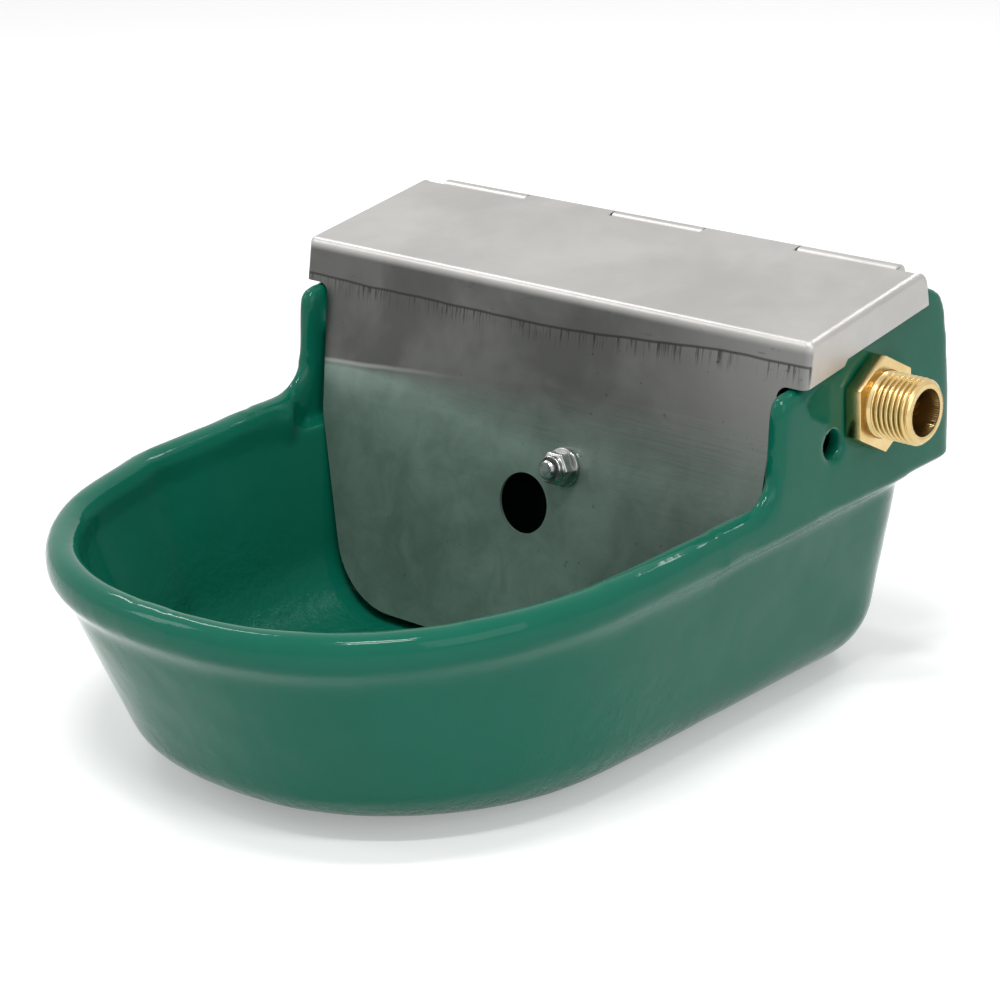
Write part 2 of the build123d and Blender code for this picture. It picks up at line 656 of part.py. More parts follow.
with BuildPart() as hinge_screws:
    for x in screw_places:
        with BuildSketch(rail_plane(x, HINGE_SCREW_GRIP)):
            Circle(HINGE_SCREW / 2)
        extrude(amount=HINGE_SCREW_GRIP + SHEET)
        with BuildSketch(rail_plane(x, -SHEET)):
            Circle(HINGE_SCREW_HEAD / 2)
        extrude(amount=HINGE_SCREW_HEAD_HEIGHT, taper=HINGE_SCREW_DOME)
hinge_screws.part.label = "hinge_screws"
export_step(hinge_screws.part, "parts/hinge_screws.step")

# ---------------------------------------------------------------- latch
M6_HOLE = LATCH_BOLT / 2 + THREAD_FIT


def ring(plane, outer, inner, thickness):
    """A round washer, bush or collar that rises from a plane."""
    with BuildPart() as form:
        with BuildSketch(plane):
            Circle(outer)
            Circle(inner, mode=Mode.SUBTRACT)
        extrude(amount=thickness)
    return form.part


with BuildPart() as latch_bolt:
    with BuildSketch(latch_plane(head_start)):
        RegularPolygon(M6_ACROSS / 2, 6, major_radius=False)
    extrude(amount=-LATCH_BOLT_HEAD)
    with BuildSketch(latch_plane(head_start)):
        Circle(LATCH_BOLT / 2)
    extrude(amount=bolt_start - head_start)
    chamfer(latch_bolt.faces().sort_by(Axis.Y)[0].edges(), BOLT_CHAMFER)
latch_bolt.part.label = "latch_bolt"
export_step(latch_bolt.part, "parts/latch_bolt.step")

with BuildPart() as latch_bush:
    add(ring(latch_plane(bush_end), BUSH_SPIGOT / 2, M6_HOLE, LATCH_THICKNESS + 2 * LATCH_PLAY))
    head_thickness = -SHEET - latch_front - LATCH_PLAY
    add(ring(latch_plane(latch_front + LATCH_PLAY), BUSH_DIAMETER / 2, M6_HOLE, head_thickness))
latch_bush.part.label = "latch_bush"
export_step(latch_bush.part, "parts/latch_bush.step")

with BuildPart() as cover_latch:
    with BuildSketch(latch_plane(latch_back)):
        with Locations(((LATCH_TIP - LATCH_TAIL) / 2, 0)):
            SlotOverall(LATCH_TIP + LATCH_TAIL, LATCH_WIDTH)
        Circle(BUSH_SPIGOT / 2 + PIN_FIT, mode=Mode.SUBTRACT)
    extrude(amount=LATCH_THICKNESS)
cover_latch.part.label = "cover_latch"
export_step(cover_latch.part, "parts/cover_latch.step")

front_washer = ring(latch_plane(0), M6_WASHER / 2, M6_HOLE, M6_WASHER_THICKNESS)
front_washer.label = "front_washer"
export_step(front_washer, "parts/front_washer.step")

rear_washer = ring(latch_plane(head_start), M6_WASHER / 2, M6_HOLE, M6_WASHER_THICKNESS)
rear_washer.label = "rear_washer"
export_step(rear_washer, "parts/rear_washer.step")


def hexagon_nut(plane, across, bore, thickness, turn=0):
    """A plain hexagon nut that rises from a plane."""
    with BuildPart() as form:
        with BuildSketch(plane):
            RegularPolygon(across / 2, 6, major_radius=False, rotation=turn)
            Circle(bore, mode=Mode.SUBTRACT)
        extrude(amount=thickness)
    return form.part


# Lock nut: a hexagon with a round collar that holds the nylon ring.
with BuildPart() as latch_nut:
    add(hexagon_nut(latch_plane(nut_start), M6_ACROSS, M6_HOLE, M6_NUT))
    add(ring(latch_plane(collar_start), M6_COLLAR_DIAMETER / 2, M6_RING_DIAMETER / 2, M6_COLLAR))
latch_nut.part.label = "latch_nut"
export_step(latch_nut.part, "parts/latch_nut.step")

latch_nut_ring = ring(latch_plane(collar_start), M6_RING_DIAMETER / 2, M6_HOLE, M6_COLLAR - RING_SUNK)
latch_nut_ring.label = "latch_nut_ring"
export_step(latch_nut_ring, "parts/latch_nut_ring.step")

# ---------------------------------------------------------------- float valve
with BuildPart() as valve_body:
    with BuildSketch(along_valve(flange_face)):
        Circle(INLET_THREAD / 2 - SHANK_RELIEF)
    extrude(amount=thread_end - flange_face)
    with BuildSketch(along_valve(nut_face)):
        Circle(INLET_THREAD / 2)
    extrude(amount=INLET_STUB)
    chamfer(valve_body.faces().sort_by(Axis.X)[-1].edges(), INLET_CHAMFER)
    with BuildSketch(along_valve(barrel_start)):
        RegularPolygon(FLANGE_ACROSS / 2, 6, major_radius=False, rotation=LOCK_NUT_TURN)
    extrude(amount=FLANGE_THICKNESS)
    with BuildSketch(along_valve(barrel_end)):
        Circle(BARREL_DIAMETER / 2)
    extrude(amount=BARREL_LENGTH)
    # Ears below the barrel for the lever's pin.
    with BuildSketch(valve_view(-lever_gap / 2 - EAR_THICKNESS)):
        with Locations((lever_x, -LEVER_PIN_DROP)):
            Circle(EAR_DIAMETER / 2)
            Rectangle(EAR_DIAMETER, LEVER_PIN_DROP, align=(Align.CENTER, Align.MIN))
    extrude(amount=-lever_gap - 2 * EAR_THICKNESS)
    # Inlet, nozzle hole and barrel bore.
    with BuildSketch(along_valve(barrel_start + WEB)):
        Circle(INLET_BORE / 2)
    extrude(amount=thread_end - barrel_start - WEB, mode=Mode.SUBTRACT)
    with BuildSketch(along_valve(barrel_start)):
        Circle(NOZZLE_DIAMETER / 2 + THREAD_FIT)
    extrude(amount=WEB, mode=Mode.SUBTRACT)
    with BuildSketch(along_valve(barrel_end)):
        Circle(PLUNGER_DIAMETER / 2 + PLUNGER_FIT)
    extrude(amount=BARREL_LENGTH, mode=Mode.SUBTRACT)
    # Slot for the lever, which also lets the water out under the nozzle.
    with BuildSketch(valve_view(-lever_gap / 2)):
        with Locations((lever_x - LEVER_NOSE / 2 - plunger_travel / 2 - SLOT_MARGIN, 0)):
            Rectangle(
                LEVER_NOSE + plunger_travel + 2 * SLOT_MARGIN + OUTLET_LENGTH,
                LEVER_PIN_DROP + EAR_DIAMETER,
                align=(Align.MIN, Align.MAX),
            )
    extrude(amount=-lever_gap, mode=Mode.SUBTRACT)
    with BuildSketch(valve_view(-lever_gap)):
        with Locations((lever_x, -LEVER_PIN_DROP)):
            Circle(LEVER_PIN / 2 + PIN_FIT)
    extrude(amount=-BARREL_DIAMETER, both=True, mode=Mode.SUBTRACT)
valve_body.part.label = "valve_body"
export_step(valve_body.part, "parts/valve_body.step")

nut_bore = INLET_THREAD / 2 + THREAD_FIT
lock_nut = hexagon_nut(
    along_valve(wall_outside), LOCK_NUT_ACROSS, nut_bore, LOCK_NUT_THICKNESS, LOCK_NUT_TURN
)
lock_nut.label = "lock_nut"
export_step(lock_nut, "parts/lock_nut.step")

inlet_washer = ring(along_valve(flange_face), SEAL_DIAMETER / 2, nut_bore, SEAL_THICKNESS)
inlet_washer.label = "inlet_washer"
export_step(inlet_washer, "parts/inlet_washer.step")

with BuildPart() as valve_nozzle:
    add(ring(along_valve(seat_face + NOZZLE_LIP), NOZZLE_DIAMETER / 2, NOZZLE_BORE / 2, NOZZLE_LENGTH))
    add(ring(along_valve(seat_face), NOZZLE_LIP_DIAMETER / 2, NOZZLE_BORE / 2, NOZZLE_LIP))
valve_nozzle.part.label = "valve_nozzle"
export_step(valve_nozzle.part, "parts/valve_nozzle.step")

with BuildPart() as valve_cap:
    with BuildSketch(along_valve(barrel_end - CAP_END)):
        Circle(CAP_DIAMETER / 2)
    extrude(amount=CAP_END + CAP_LENGTH)
    chamfer(valve_cap.faces().sort_by(Axis.X)[0].edges(), CAP_CHAMFER)
    with BuildSketch(along_valve(barrel_end)):
        Circle(BARREL_DIAMETER / 2 + THREAD_FIT)
    extrude(amount=CAP_LENGTH, mode=Mode.SUBTRACT)
valve_cap.part.label = "valve_cap"
export_step(valve_cap.part, "parts/valve_cap.step")

with BuildPart() as lever_pin:
    with BuildSketch(valve_view(-lever_gap / 2 - EAR_THICKNESS)):
        with Locations((lever_x, -LEVER_PIN_DROP)):
            Circle(LEVER_PIN / 2)
    extrude(amount=-lever_gap - 2 * EAR_THICKNESS)
lever_pin.part.label = "lever_pin"
export_step(lever_pin.part, "parts/lever_pin.step")

# ---------------------------------------------------------------- plunger
nose_slot = LEVER_NOSE + 2 * NOSE_FIT
with BuildPart() as plunger:
    with BuildSketch(along_valve(plunger_front - PLUNGER_LENGTH)):
        Circle(PLUNGER_DIAMETER / 2)
    extrude(amount=PLUNGER_LENGTH)
    chamfer(plunger.faces().sort_by(Axis.X)[0].edges(), BOLT_CHAMFER)
    with BuildSketch(along_valve(plunger_front - PLUNGER_SEAL_THICKNESS + SEAL_PROUD)):
        Circle(PLUNGER_SEAL / 2 + THREAD_FIT)
    extrude(amount=PLUNGER_SEAL_THICKNESS, mode=Mode.SUBTRACT)
    with BuildSketch(valve_view(0)):
        with Locations((plunger_middle, LEVER_NOSE / 2 + SLOT_ROOF)):
            Rectangle(nose_slot, PLUNGER_DIAMETER, align=(Align.CENTER, Align.MAX))
    extrude(amount=lever_gap / 2, both=True, mode=Mode.SUBTRACT)
plunger.part.label = "plunger"
export_step(plunger.part, "parts/plunger.step")

with BuildPart() as plunger_seal:
    with BuildSketch(along_valve(seal_front - PLUNGER_SEAL_THICKNESS)):
        Circle(PLUNGER_SEAL / 2)
    extrude(amount=PLUNGER_SEAL_THICKNESS)
plunger_seal.part.label = "plunger_seal"
export_step(plunger_seal.part, "parts/plunger_seal.step")

# ---------------------------------------------------------------- lever, arm and float
# The arm's own side view: x out along the arm from the pivot, y up from it.
pivot = rim.from_local_coords((lever_x, INLET_Y, INLET_Z - LEVER_PIN_DROP))
drop = radians(ARM_DROP)
arm_plane = Plane(origin=pivot, x_dir=Vector(-cos(drop), 0, 0) - rim.z_dir * sin(drop), z_dir=rim.y_dir)


def arm_section(distance):
    """A plane across the float arm at a distance from the pivot."""
    origin = arm_plane.from_local_coords((distance, 0, 0))
    return Plane(origin=origin, x_dir=rim.y_dir, z_dir=arm_plane.x_dir)


nose_angle = drop - half_swing
nose_place = (-LEVER_PIN_DROP * sin(nose_angle), LEVER_PIN_DROP * cos(nose_angle))
with BuildPart() as float_arm:
    with BuildSketch(arm_plane):
        Circle(ARM_HUB / 2)
        with Locations(nose_place):
            Circle(LEVER_NOSE / 2)
        with Locations(Rotation(0, 0, ARM_DROP - FLOAT_SWING / 2)):
            Rectangle(LEVER_FINGER, LEVER_PIN_DROP, align=(Align.CENTER, Align.MIN))
        Rectangle(ARM_BOSS, ARM_BOSS_HEIGHT, align=(Align.MIN, Align.CENTER))
        Circle(LEVER_PIN / 2 + PIN_FIT, mode=Mode.SUBTRACT)
    extrude(amount=LEVER_THICKNESS / 2, both=True)
    with BuildSketch(arm_section(ARM_BOSS)):
        Circle(ARM_DIAMETER / 2)
    extrude(amount=ARM_REACH + ARM_END - ARM_BOSS)
    chamfer(float_arm.faces().sort_by(Axis.X)[0].edges(), BOLT_CHAMFER)
float_arm.part.label = "float_arm"
export_step(float_arm.part, "parts/float_arm.step")

float_middle = -FLOAT_LUG_RISE - FLOAT_HEIGHT / 2
with BuildPart() as float_form:
    with BuildSketch(arm_plane):
        with Locations((ARM_REACH, float_middle)):
            Rectangle(FLOAT_LENGTH, FLOAT_HEIGHT)
    extrude(amount=FLOAT_WIDTH / 2, both=True)
    fillet(float_form.edges(), FLOAT_ROUND)
    with BuildSketch(arm_plane):
        with Locations((ARM_REACH, float_middle)):
            Rectangle(FLOAT_LUG_LENGTH, FLOAT_LUG_TOP - float_middle, align=(Align.CENTER, Align.MIN))
    extrude(amount=FLOAT_LUG / 2, both=True)
    with BuildSketch(arm_section(ARM_REACH - FLOAT_LUG_LENGTH)):
        Circle(ARM_DIAMETER / 2 + THREAD_FIT)
    extrude(amount=2 * FLOAT_LUG_LENGTH, mode=Mode.SUBTRACT)
float_form.part.label = "float"
export_step(float_form.part, "parts/float.step")

with BuildPart() as float_nuts:
    half_lug = FLOAT_LUG_LENGTH / 2
    for distance in (ARM_REACH - half_lug - FLOAT_NUT_THICKNESS, ARM_REACH + half_lug):
        add(hexagon_nut(
            arm_section(distance), FLOAT_NUT_ACROSS, ARM_DIAMETER / 2 + THREAD_FIT, FLOAT_NUT_THICKNESS
        ))
float_nuts.part.label = "float_nuts"
export_step(float_nuts.part, "parts/float_nuts.step")
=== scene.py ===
# %% [markdown]
# # A livestock drinking bowl
# The bowl is an iron casting in thick green enamel. A folded stainless cover hinges on its
# mounting back, and the cover's front drops into the trough as a baffle. A brass float valve
# comes in through the right-hand wall.
#
# The CAD model is loaded first as a fixed frame. Everything made here is in metres and in
# the same frame, so a new piece goes where the CAD says, and rides on a CAD body.

# %% Load the frame
import json
import math

import bmesh
import bpy
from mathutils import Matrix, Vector, noise


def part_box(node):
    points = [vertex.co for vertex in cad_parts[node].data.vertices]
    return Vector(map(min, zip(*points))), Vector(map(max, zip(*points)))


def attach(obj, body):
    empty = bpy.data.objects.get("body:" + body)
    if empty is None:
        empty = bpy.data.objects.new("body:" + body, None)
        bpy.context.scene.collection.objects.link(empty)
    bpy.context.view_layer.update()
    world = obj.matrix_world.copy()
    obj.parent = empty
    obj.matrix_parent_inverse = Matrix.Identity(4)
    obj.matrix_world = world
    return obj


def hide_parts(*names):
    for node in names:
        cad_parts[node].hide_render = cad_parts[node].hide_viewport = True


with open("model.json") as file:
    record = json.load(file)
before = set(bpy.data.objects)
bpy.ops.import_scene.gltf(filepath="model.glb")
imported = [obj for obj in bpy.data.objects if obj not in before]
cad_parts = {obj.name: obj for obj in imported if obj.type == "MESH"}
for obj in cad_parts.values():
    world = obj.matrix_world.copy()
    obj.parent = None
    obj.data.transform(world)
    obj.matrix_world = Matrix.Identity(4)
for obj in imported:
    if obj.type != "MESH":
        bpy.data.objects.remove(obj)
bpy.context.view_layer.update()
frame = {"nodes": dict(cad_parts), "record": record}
nodes = frame["nodes"]
MM = 0.001

# %% [markdown]
# ## Materials as sums
# A finish is a node tree, and a node tree is mostly arithmetic. Drawing it node by node hides
# the sum that it stands for. One small class wraps a socket and gives it the usual operators,
# so that a mask can be written as 1 - mask and still end up as Math nodes.

# %% A socket that knows sums
class Wire:
    """An output socket that takes part in arithmetic by adding Math nodes."""

    def __init__(self, tree, socket):
        self.tree = tree
        self.socket = socket

    def _math(self, operation, first, second):
        return self.tree.node("ShaderNodeMath", {"operation": operation}, {0: first, 1: second})

    def __add__(self, other):
        return self._math("ADD", self, other)

    __radd__ = __add__

    def __sub__(self, other):
        return self._math("SUBTRACT", self, other)

    def __rsub__(self, other):
        return self._math("SUBTRACT", other, self)

    def __mul__(self, other):
        return self._math("MULTIPLY", self, other)

    __rmul__ = __mul__

    def __truediv__(self, other):
        return self._math("DIVIDE", self, other)

    def __pow__(self, other):
        return self._math("POWER", self, other)

    def clamp(self):
        return self.tree.node("ShaderNodeClamp", sockets={0: self})

    def between(self, low, high):
        """0 below low, 1 above high and smooth in between."""
        settings = {"interpolation_type": "SMOOTHSTEP"}
        sockets = {0: self, 1: low, 2: high, 3: 0.0, 4: 1.0}
        return self.tree.node("ShaderNodeMapRange", settings, sockets)


print("a wire can", [name for name, made in vars(Wire).items() if callable(made)])

# %% [markdown]
# ## A tree, and a finish that grows in it
# Every node that isn't a sum is added by one method: the node's type, its settings and the
# values or links of its sockets. The surround needs that method too, so it sits in a
# class of its own. A finish adds the few nodes that almost every surface uses: a place on
# the piece, clouds of noise, a mix of two colours and a bump.

# %% A material that adds nodes by type
class Tree:
    """A node tree under construction."""

    def __init__(self, tree):
        self.tree = tree

    def node(self, kind, settings=None, sockets=None, output=0):
        """Adds a node, sets it up, fills its sockets and returns one output as a Wire."""
        made = self.tree.nodes.new(kind)
        for key, value in (settings or {}).items():
            setattr(made, key, value)
        for key, value in (sockets or {}).items():
            self.fill(made.inputs[key], value)
        return Wire(self, made.outputs[output])

    def fill(self, socket, value):
        """Links a Wire to a socket, or sets the socket to a number, a vector or a colour."""
        if isinstance(value, Wire):
            self.tree.links.new(value.socket, socket)
        elif socket.type == "RGBA":
            socket.default_value = (*value, 1.0)
        else:
            socket.default_value = value

    def seen(self):
        """1 for what the camera or a reflection sees, and 0 for light that falls on things."""
        path = self.node("ShaderNodeLightPath").socket.node
        return Wire(self, path.outputs["Is Camera Ray"]) + Wire(self, path.outputs["Is Glossy Ray"])


class Finish(Tree):
    """A material under construction, with one Principled shader."""

    def __init__(self, name, **constants):
        self.material = bpy.data.materials.new(name)
        self.material.use_nodes = True
        super().__init__(self.material.node_tree)
        self.shader = self.tree.nodes["Principled BSDF"]
        self.feed(**constants)

    def feed(self, **sockets):
        """Gives the shader's own sockets their numbers, colours or varying values."""
        for key, value in sockets.items():
            self.fill(self.shader.inputs[key.replace("_", " ")], value)
        return self.material

    def place(self):
        """The point on the piece, in the frame's metres, as a vector and as x, y and z."""
        point = self.node("ShaderNodeTexCoord", output="Object")
        split = self.node("ShaderNodeSeparateXYZ", sockets={0: point}).socket.node
        return (point, *(Wire(self, out) for out in split.outputs))

    def stretched(self, point, scale, location=(0, 0, 0)):
        sockets = {"Vector": point, "Location": location, "Scale": scale}
        return self.node("ShaderNodeMapping", sockets=sockets)

    def clouds(self, point, scale, detail=3.0, roughness=0.55, distortion=0.0):
        sockets = {
            "Vector": point, "Scale": scale, "Detail": detail,
            "Roughness": roughness, "Distortion": distortion,
        }
        return self.node("ShaderNodeTexNoise", sockets=sockets)

    def blend(self, share, first, second):
        """A mix of two colours: the Mix node keeps its colour sockets at 6 and 7."""
        sockets = {0: share, 6: first, 7: second}
        return self.node("ShaderNodeMix", {"data_type": "RGBA"}, sockets, output=2)

    def bump(self, height, depth, strength=1.0, below=None):
        """A bump of a depth in metres, over another bump if one is given."""
        sockets = {"Strength": strength, "Distance": depth, "Height": height}
        if below:
            sockets["Normal"] = below
        return self.node("ShaderNodeBump", sockets=sockets)


print("helpers of a finish", [name for name in vars(Finish) if not name.startswith("_")])

# %% [markdown]
# ## Green enamel
# Enamel is glass over iron: a deep, even colour under a clear, wet gloss. It is never quite
# flat. It sags and ripples over the casting, and on the trough's floor it keeps the grain of
# the sand mould. An image of enamel would need an unwrapped surface and would stretch over
# the bead, so noise in the piece's own space is used. The colour barely changes, and the
# bump does the work: a slow ripple everywhere and a coarse grain low down inside.

# %% Enamel
DEEP_GREEN, FRESH_GREEN = (0.0022, 0.108, 0.066), (0.0035, 0.122, 0.077)
PALE_SPECK = (0.02, 0.16, 0.10)
RIPPLE_DEPTH, PEEL_DEPTH, GRAIN_DEPTH = 0.4 * MM, 0.07 * MM, 1.0 * MM
NOSE_CENTRE = -20 * MM
WALL_FOOT = 75 * MM, 100 * MM
BAFFLE_AT, BAFFLE_FADE = 60 * MM, 20 * MM
TROUGH_FLOOR = 2 * MM, 4 * MM
GRAIN_TOP = 30 * MM, 55 * MM

enamel = Finish("green_enamel", Roughness=0.12, IOR=1.5, Specular_IOR_Level=0.18)
point, x, y, z = enamel.place()
tone = enamel.clouds(point, 14.0, 4.0)
speck = enamel.clouds(point, 900.0, 2.0, 0.7).between(0.70, 0.76)
green = enamel.blend(tone.between(0.3, 0.7), DEEP_GREEN, FRESH_GREEN)
green = enamel.blend(speck * 0.25, green, PALE_SPECK)

# The grain is kept to the trough's inside: its floor and the foot of its walls.
from_nose = y - NOSE_CENTRE
reach = (x * x + from_nose * from_nose) ** 0.5
inside = (1 - reach.between(*WALL_FOOT)) * (BAFFLE_AT - y).between(0.0, BAFFLE_FADE)
floor_grain = (1 - z.between(*GRAIN_TOP)) * z.between(*TROUGH_FLOOR) * inside
grain = enamel.clouds(point, 230.0, 3.0, 0.6)

relief = enamel.bump(enamel.clouds(point, 95.0, 2.0), RIPPLE_DEPTH, 0.35)
relief = enamel.bump(enamel.clouds(point, 420.0, 2.0), PEEL_DEPTH, 0.35, relief)
relief = enamel.bump(grain * floor_grain, GRAIN_DEPTH, 0.7, relief)
enamel.feed(
    Base_Color=green,
    Roughness=0.065 + 0.13 * floor_grain + 0.04 * tone,
    Normal=relief,
)
print("enamel", len(enamel.tree.nodes), "nodes")

# %% [markdown]
# ## Stainless sheet: where things are
# The cover is mill-finished sheet, folded and pressed but not polished. Its top is a soft
# even grey. Its front is painted a much darker grey, lighter towards the right, as painted
# reflection of the darker surroundings that it faces. One material covers both, because they
# are one sheet.
# A painted map could tell them apart, but the sheet is flat and its fold is straight, so a
# plane does it: how far a point lies below the fold, and whether it lies in the front.

# %% The front of the sheet
FOLD_Y, FOLD_Z = 46.94 * MM, 127.49 * MM
RAKE = math.radians(9.9)
SHEET_DEPTH = 1.2 * MM, 2.2 * MM
FOLD_ROUND = 1 * MM, 4 * MM

sheet = Finish("stainless_sheet", Metallic=1.0, Roughness=0.35)
point, x, y, z = sheet.place()
below_fold = (FOLD_Z - z) * math.cos(RAKE) + (FOLD_Y - y) * math.sin(RAKE)
behind_front = (y - FOLD_Y) * math.cos(RAKE) - (z - FOLD_Z) * math.sin(RAKE)
on_front = (1 - behind_front.between(*SHEET_DEPTH)) * below_fold.between(*FOLD_ROUND)
cloud = sheet.clouds(point, 22.0, 4.0, 0.6, 0.4)
fine_cloud = sheet.clouds(point, 75.0, 5.0, 0.65, 0.6)
print("front leans", round(math.degrees(RAKE), 1), "degrees")

# %% [markdown]
# ## Stainless sheet: the press marks
# The press dragged the sheet. It left a scored line a little below the fold, short scuffs
# that hang from the line like a comb, and grime in both. The line wanders a little, because
# the sheet wasn't held quite square. The scuffs are noise that is squeezed across and drawn
# out downwards, cut off at the line and faded a few millimetres below it.

# %% Dirt in the line, the scuffs and the lip
LINE_DROP, LINE_WANDER, LINE_RISE = 10.6 * MM, 3.0 * MM, 5.0 * MM
RISE_FROM, RISE_TO = 0 * MM, 90 * MM
COMB_FADE = 1.0 * MM, 7.5 * MM
LIP_FOOT = 9 * MM, 13 * MM

wander = sheet.clouds(sheet.stretched(point, (16.0, 0.0, 0.0)), 1.0, 3.0)
line_at = LINE_DROP + LINE_WANDER * wander - LINE_RISE * x.between(RISE_FROM, RISE_TO)
off_line = below_fold - line_at
line = (1 - off_line.between(0.2 * MM, 0.7 * MM)) * off_line.between(-0.6 * MM, -0.1 * MM)
scuff = sheet.clouds(sheet.stretched(point, (900.0, 45.0, 45.0)), 1.0, 3.0, 0.75)
patchy = sheet.clouds(sheet.stretched(point, (42.0, 0.0, 0.0), (3.0, 0.0, 0.0)), 1.0, 2.0)
hanging = off_line.between(0.0, 0.8 * MM) * (1 - off_line.between(*COMB_FADE))
comb = hanging * scuff.between(0.50, 0.62) * patchy.between(0.36, 0.50)
marks = (line * 0.9 + comb) * on_front

spots = sheet.clouds(point, 330.0, 2.0, 0.5).between(0.72, 0.76)
mottle = sheet.clouds(sheet.stretched(point, (120.0, 420.0, 420.0)), 1.0, 5.0, 0.7)
lip = on_front * (1 - below_fold.between(*LIP_FOOT))
dirt = (marks * 0.75 + spots * 0.35 * on_front + mottle.between(0.60, 0.70) * lip * 0.35).clamp()
print("press marks", len(sheet.tree.nodes), "nodes so far")

# %% [markdown]
# ## Stainless sheet: the film that water leaves
# The lower part of the front has stood in hard water. A thin film of scale is left there,
# greenish and half dull, and its upper edge is a tide line: sharp and pale on the left, and
# lost in the sheen on the right. The film is a mask over two greys, and it takes away some
# of the metal as well, because scale isn't one.

# %% Greys, painted reflection of the trough and of its rim
TOP_GREYS = (0.44, 0.43, 0.415), (0.52, 0.51, 0.49)
# The front's greys and the right-hand grey are painted reflection of the darker surroundings that the
# front faces.
FRONT_PAINTED_DARK_GREYS = (0.085, 0.087, 0.082), (0.135, 0.137, 0.130)
RIGHT_PAINTED_SHEEN_GREY = (0.27, 0.27, 0.262)
# The greens are the painted reflection of the trough below the front, and the pale grey is the
# painted reflection of the rim's edge. GRIME is real dirt.
TROUGH_REFLECTION_GREENS = (0.16, 0.235, 0.20), (0.22, 0.31, 0.265)
RIM_REFLECTION_GREY, GRIME = (0.42, 0.44, 0.42), (0.022, 0.021, 0.020)
REFLECTION_START, REFLECTION_WANDER, REFLECTION_SLOPE = 39.5 * MM, 2 * MM, 0.08
LEFT_END = -97 * MM
SHARP_EDGE, SOFT_EDGE = 2 * MM, 22 * MM
RIM_REFLECTION_REACH = 1.2 * MM

top_grey = sheet.blend(cloud.between(0.3, 0.7), *TOP_GREYS)
# Painted reflection: the front is painted far darker than the top, and lighter towards the right.
front_painted_grey = sheet.blend(cloud.between(0.35, 0.65), *FRONT_PAINTED_DARK_GREYS)
front_painted_grey = sheet.blend(x.between(20 * MM, 110 * MM) * 0.8, front_painted_grey, RIGHT_PAINTED_SHEEN_GREY)

# Below this edge the front is painted with the trough's greenish reflection, fading towards the
# right.
past_edge = below_fold - (REFLECTION_START + REFLECTION_WANDER * wander - REFLECTION_SLOPE * (x - LEFT_END))
edge_width = SHARP_EDGE + SOFT_EDGE * x.between(-85 * MM, 30 * MM)
trough_reflection = on_front * (past_edge / edge_width).clamp() * (0.70 + 0.30 * cloud)
trough_reflection = trough_reflection * (1 - 0.45 * x.between(-10 * MM, 90 * MM))
front_painted_grey = sheet.blend(trough_reflection, front_painted_grey, sheet.blend(fine_cloud.between(0.3, 0.7), *TROUGH_REFLECTION_GREENS))

# A pale line at the edge is the painted reflection of the rim's edge, kept to the left end.
rim_reflection = past_edge.between(-RIM_REFLECTION_REACH, 0.0) * (1 - past_edge.between(0.0, RIM_REFLECTION_REACH))
rim_reflection = rim_reflection * (1 - x.between(-90 * MM, -20 * MM))
front_painted_grey = sheet.blend(rim_reflection * 0.55, front_painted_grey, RIM_REFLECTION_GREY)
grey = sheet.blend(dirt, sheet.blend(on_front, top_grey, front_painted_grey), GRIME)
print("film starts", round(REFLECTION_START / MM, 1), "mm below the fold at the left end")

# %% [markdown]
# ## Stainless sheet: the finish
# The rolling mill leaves a fine grain along the sheet, which is why its reflections are drawn
# out. The grain goes into a very shallow bump and a little into the roughness. A second,
# slow bump stands for sheet that isn't dead flat, so that a long reflection wavers.

# %% Sheet roughness and relief
BUCKLE_DEPTH, ROLLING_DEPTH = 4.0 * MM, 0.06 * MM

rolling = sheet.clouds(sheet.stretched(point, (30.0, 900.0, 900.0)), 1.0, 4.0, 0.65)
relief = sheet.bump(sheet.clouds(point, 9.0, 1.0), BUCKLE_DEPTH, 0.25)
relief = sheet.bump(rolling, ROLLING_DEPTH, 0.5, relief)
worn = 0.27 - 0.07 * on_front + 0.12 * cloud + 0.08 * fine_cloud
sheet.feed(
    Base_Color=grey,
    Roughness=(worn + 0.08 * rolling + 0.25 * dirt).clamp(),
    # The painted reflection of the trough takes away some of the metal, so that its green shows.
    Metallic=1 - 0.65 * trough_reflection,
    Normal=relief,
)
print("stainless", len(sheet.tree.nodes), "nodes")

# %% [markdown]
# ## Brass
# The valve is turned from brass bar and hardly tarnished. A lathe leaves fine rings round
# the axis, so the noise for the tool marks is read by distance from the inlet's axis and by
# place along it. It never changes round the axis, which is what makes the marks rings.

# %% Brass
AXIS_Y, AXIS_Z = 81.465 * MM, 100.303 * MM
DARK_BRASS, LIGHT_BRASS = (0.60, 0.44, 0.19), (0.74, 0.57, 0.29)
RINGS_PER_METRE = 5200.0

brass = Finish("turned_brass", Metallic=1.0, Roughness=0.24)
point, x, y, z = brass.place()
radius = ((y - AXIS_Y) * (y - AXIS_Y) + (z - AXIS_Z) * (z - AXIS_Z)) ** 0.5
rings = {0: radius * RINGS_PER_METRE, 1: x * RINGS_PER_METRE, 2: 0.0}
turning = brass.clouds(brass.node("ShaderNodeCombineXYZ", sockets=rings), 1.0, 2.0)
tarnish = brass.clouds(point, 60.0, 4.0, 0.6)
brass.feed(
    Base_Color=brass.blend(tarnish.between(0.3, 0.7), DARK_BRASS, LIGHT_BRASS),
    Roughness=0.17 + 0.16 * tarnish,
    Normal=brass.bump(turning, 0.05 * MM, 0.5),
)
print("brass", len(brass.tree.nodes), "nodes")

# %% [markdown]
# ## Zinc
# The bolt, the pins and the screws are zinc-plated steel, bright with faint dull patches.
# Plating is too thin to have a shape of its own, so a single noise does for its tone, its
# roughness and a trace of bump.

